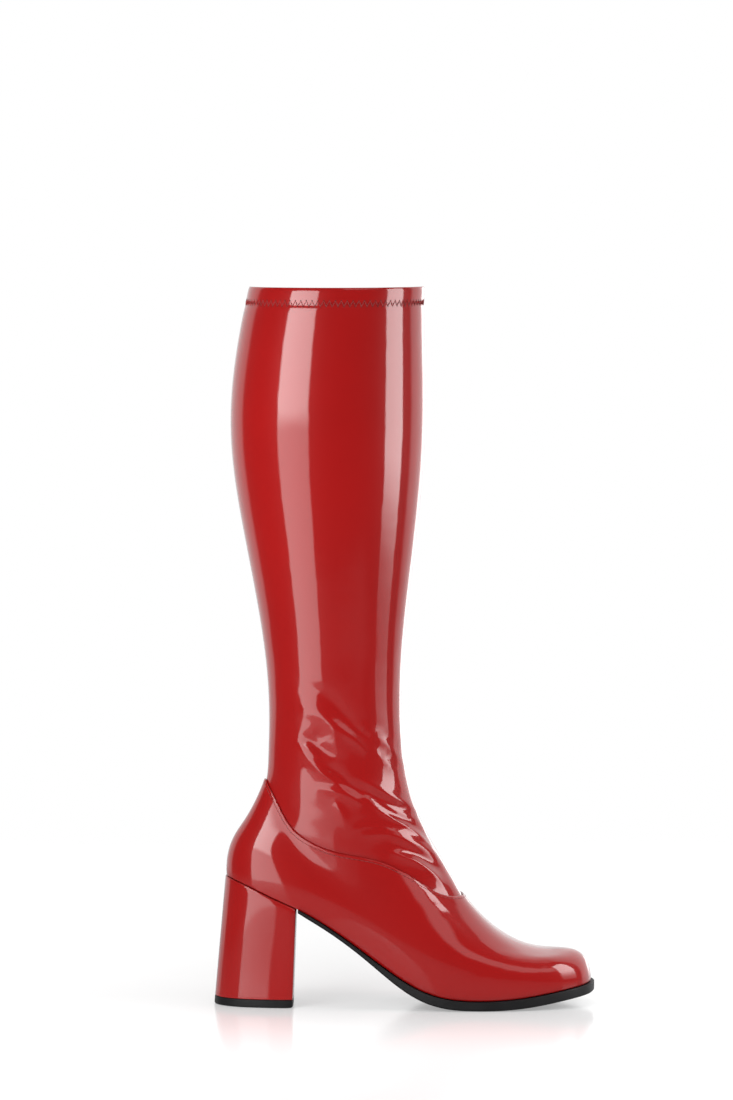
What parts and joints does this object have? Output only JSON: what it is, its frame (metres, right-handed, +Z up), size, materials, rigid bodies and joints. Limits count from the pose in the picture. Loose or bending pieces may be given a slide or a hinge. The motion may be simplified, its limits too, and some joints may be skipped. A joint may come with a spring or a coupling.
{
  "type": "knee-high boot",
  "caption": "Knee-high pull-on boot for the right foot in stretch patent, with a rounded square toe and a covered block heel.",
  "frame": {"origin": "on the floor, under the middle of the heel", "axes": "+X towards the toe, +Z up along the leg, -Y towards the outer side of the right foot"},
  "size_m": [0.2299, 0.109, 0.4322],
  "materials": {
    "patent": "red patent with a clear high gloss",
    "stretch_patent": "red stretch patent with a clear high gloss",
    "insole": "matte lining",
    "sole": "matte black",
    "heel_cover": "moulded heel covered in red patent",
    "top_piece": "matte black"
  },
  "bodies": {
    "root": {"upper": "patent", "shaft": "stretch_patent", "insole": "insole", "outsole": "sole", "heel": "heel_cover", "top_piece": "top_piece"}
  },
  "joints": []
}
